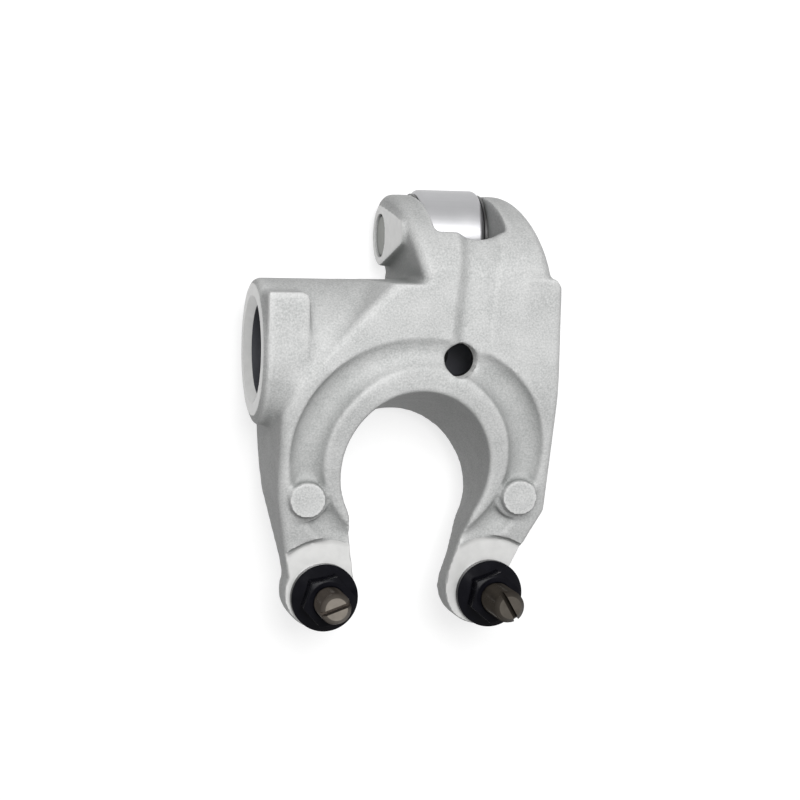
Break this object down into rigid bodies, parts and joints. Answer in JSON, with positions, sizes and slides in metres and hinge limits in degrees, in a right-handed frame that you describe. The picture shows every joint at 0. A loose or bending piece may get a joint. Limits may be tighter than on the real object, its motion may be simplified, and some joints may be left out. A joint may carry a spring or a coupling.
{
  "type": "forked roller rocker arm",
  "caption": "Forked rocker arm with a through shaft bore, a roller at one end and two slotted adjusting screws with flanged lock nuts at the fork's tips.",
  "frame": {"origin": "on the shaft bore's axis, midway between the two adjusting screws", "axes": "+X along the shaft bore, +Y towards the roller, +Z towards the side with the lock nuts, parallel to the adjusting screws"},
  "size_m": [0.065, 0.0965, 0.045],
  "materials": {
    "cast_body": "as cast, fine grain, machined bore and spot faces",
    "ground_steel": "ground bearing steel",
    "dark_steel": "plain hardened steel",
    "screw_steel": "dark brown hardened steel",
    "black_oxide": "glossy black oxide"
  },
  "bodies": {
    "arm": {"rocker_body": "cast_body", "roller_pin": "ground_steel"},
    "roller": {"roller": "ground_steel"},
    "needles": {"needle_01": "ground_steel", "needle_02": "ground_steel", "needle_03": "ground_steel", "needle_04": "ground_steel", "needle_05": "ground_steel", "needle_06": "ground_steel", "needle_07": "ground_steel", "needle_08": "ground_steel", "needle_09": "ground_steel", "needle_10": "ground_steel", "needle_11": "ground_steel", "needle_12": "ground_steel", "needle_13": "ground_steel", "needle_14": "ground_steel", "needle_15": "ground_steel", "needle_16": "ground_steel", "needle_17": "ground_steel", "needle_18": "ground_steel"},
    "washer_left": {"thrust_washer_left": "dark_steel"},
    "washer_right": {"thrust_washer_right": "dark_steel"},
    "foot_left": {"swivel_foot_left": "ground_steel"},
    "screw_left": {"adjusting_screw_left": "screw_steel"},
    "nut_left": {"lock_nut_left": "black_oxide"},
    "foot_right": {"swivel_foot_right": "ground_steel"},
    "screw_right": {"adjusting_screw_right": "screw_steel"},
    "nut_right": {"lock_nut_right": "black_oxide"}
  },
  "joints": [
    {"name": "roller_spin", "type": "hinge", "parent": "arm", "child": "roller", "pos_m": [0.01095, 0.025, -0.0125], "axis": [1, 0, 0], "continuous": true},
    {"name": "needle_orbit", "type": "hinge", "parent": "arm", "child": "needles", "pos_m": [0.01095, 0.025, -0.0125], "axis": [1, 0, 0], "continuous": true},
    {"name": "washer_left_spin", "type": "hinge", "parent": "arm", "child": "washer_left", "pos_m": [0.00336, 0.025, -0.0125], "axis": [1, 0, 0], "continuous": true},
    {"name": "washer_right_spin", "type": "hinge", "parent": "arm", "child": "washer_right", "pos_m": [0.01854, 0.025, -0.0125], "axis": [1, 0, 0], "continuous": true},
    {"name": "foot_left_travel", "type": "slide", "parent": "arm", "child": "foot_left", "axis": [0, 0, 1], "range_m": [-0.0015, 0.0015]},
    {"name": "screw_left_turn", "type": "hinge", "parent": "foot_left", "child": "screw_left", "pos_m": [-0.0187, -0.0536, 0], "axis": [0, 0, 1], "range_deg": [-725, 725]},
    {"name": "nut_left_turn", "type": "hinge", "parent": "arm", "child": "nut_left", "pos_m": [-0.0187, -0.0536, 0.009], "axis": [0, 0, 1], "range_deg": [-30, 180]},
    {"name": "foot_right_travel", "type": "slide", "parent": "arm", "child": "foot_right", "axis": [0, 0, 1], "range_m": [-0.0015, 0.0015]},
    {"name": "screw_right_turn", "type": "hinge", "parent": "foot_right", "child": "screw_right", "pos_m": [0.0187, -0.0536, 0], "axis": [0, 0, 1], "range_deg": [-725, 725]},
    {"name": "nut_right_turn", "type": "hinge", "parent": "arm", "child": "nut_right", "pos_m": [0.0187, -0.0536, 0.009], "axis": [0, 0, 1], "range_deg": [-30, 180]}
  ],
  "couplings": [
    {"joint": "needle_orbit", "follows": "roller_spin", "ratio": 0.58767},
    {"joint": "screw_left_turn", "follows": "foot_left_travel", "rad_per_m": 8377.6},
    {"joint": "screw_right_turn", "follows": "foot_right_travel", "rad_per_m": 8377.6}
  ]
}
